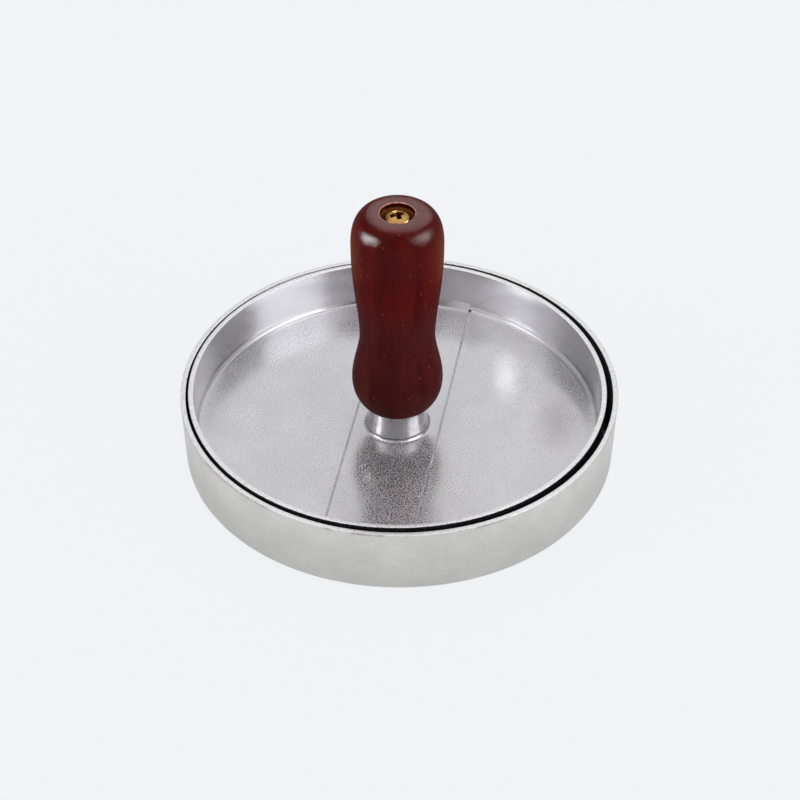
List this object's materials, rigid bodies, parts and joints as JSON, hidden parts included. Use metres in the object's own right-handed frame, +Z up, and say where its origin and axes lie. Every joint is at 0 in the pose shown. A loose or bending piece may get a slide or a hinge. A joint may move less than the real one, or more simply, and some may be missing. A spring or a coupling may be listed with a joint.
{
  "type": "patty press",
  "caption": "Round cast aluminium patty press: a shallow mould pan, a loose ribbed press plate with a hub, and a turned wooden handle held by a long screw.",
  "frame": {"origin": "on the table, at the centre of the mould pan's foot", "axes": "+Z up along the pan's axis, from the foot to the handle; +Y away from the usual viewer"},
  "size_m": [0.12, 0.12, 0.0788],
  "materials": {
    "cast_aluminium": "as-cast, fine blasted grain outside, turned bright on the rim",
    "turned_aluminium": "die-cast satin with faint mottling, turned bright on the rim",
    "varnished_wood": "turned hardwood, stained dark red-brown and varnished to a gloss",
    "zinc_plate": "yellowish zinc plate on steel",
    "spring_steel": "oiled grey spring steel",
    "brass_plate": "bright brass plate on steel"
  },
  "bodies": {
    "mould": {"mould_pan": "cast_aluminium"},
    "lift_guide": {"flat_washer": "zinc_plate"},
    "press": {"press_plate": "turned_aluminium", "handle": "varnished_wood", "spring_washer": "spring_steel", "handle_screw": "brass_plate"}
  },
  "joints": [
    {"name": "press_lift", "type": "slide", "parent": "mould", "child": "lift_guide", "axis": [0, 0, 1], "range_m": [0, 0.04]},
    {"name": "press_twist", "type": "hinge", "parent": "lift_guide", "child": "press", "pos_m": [-0.0005, 0, 0.0749], "axis": [0, 0, 1], "continuous": true}
  ]
}
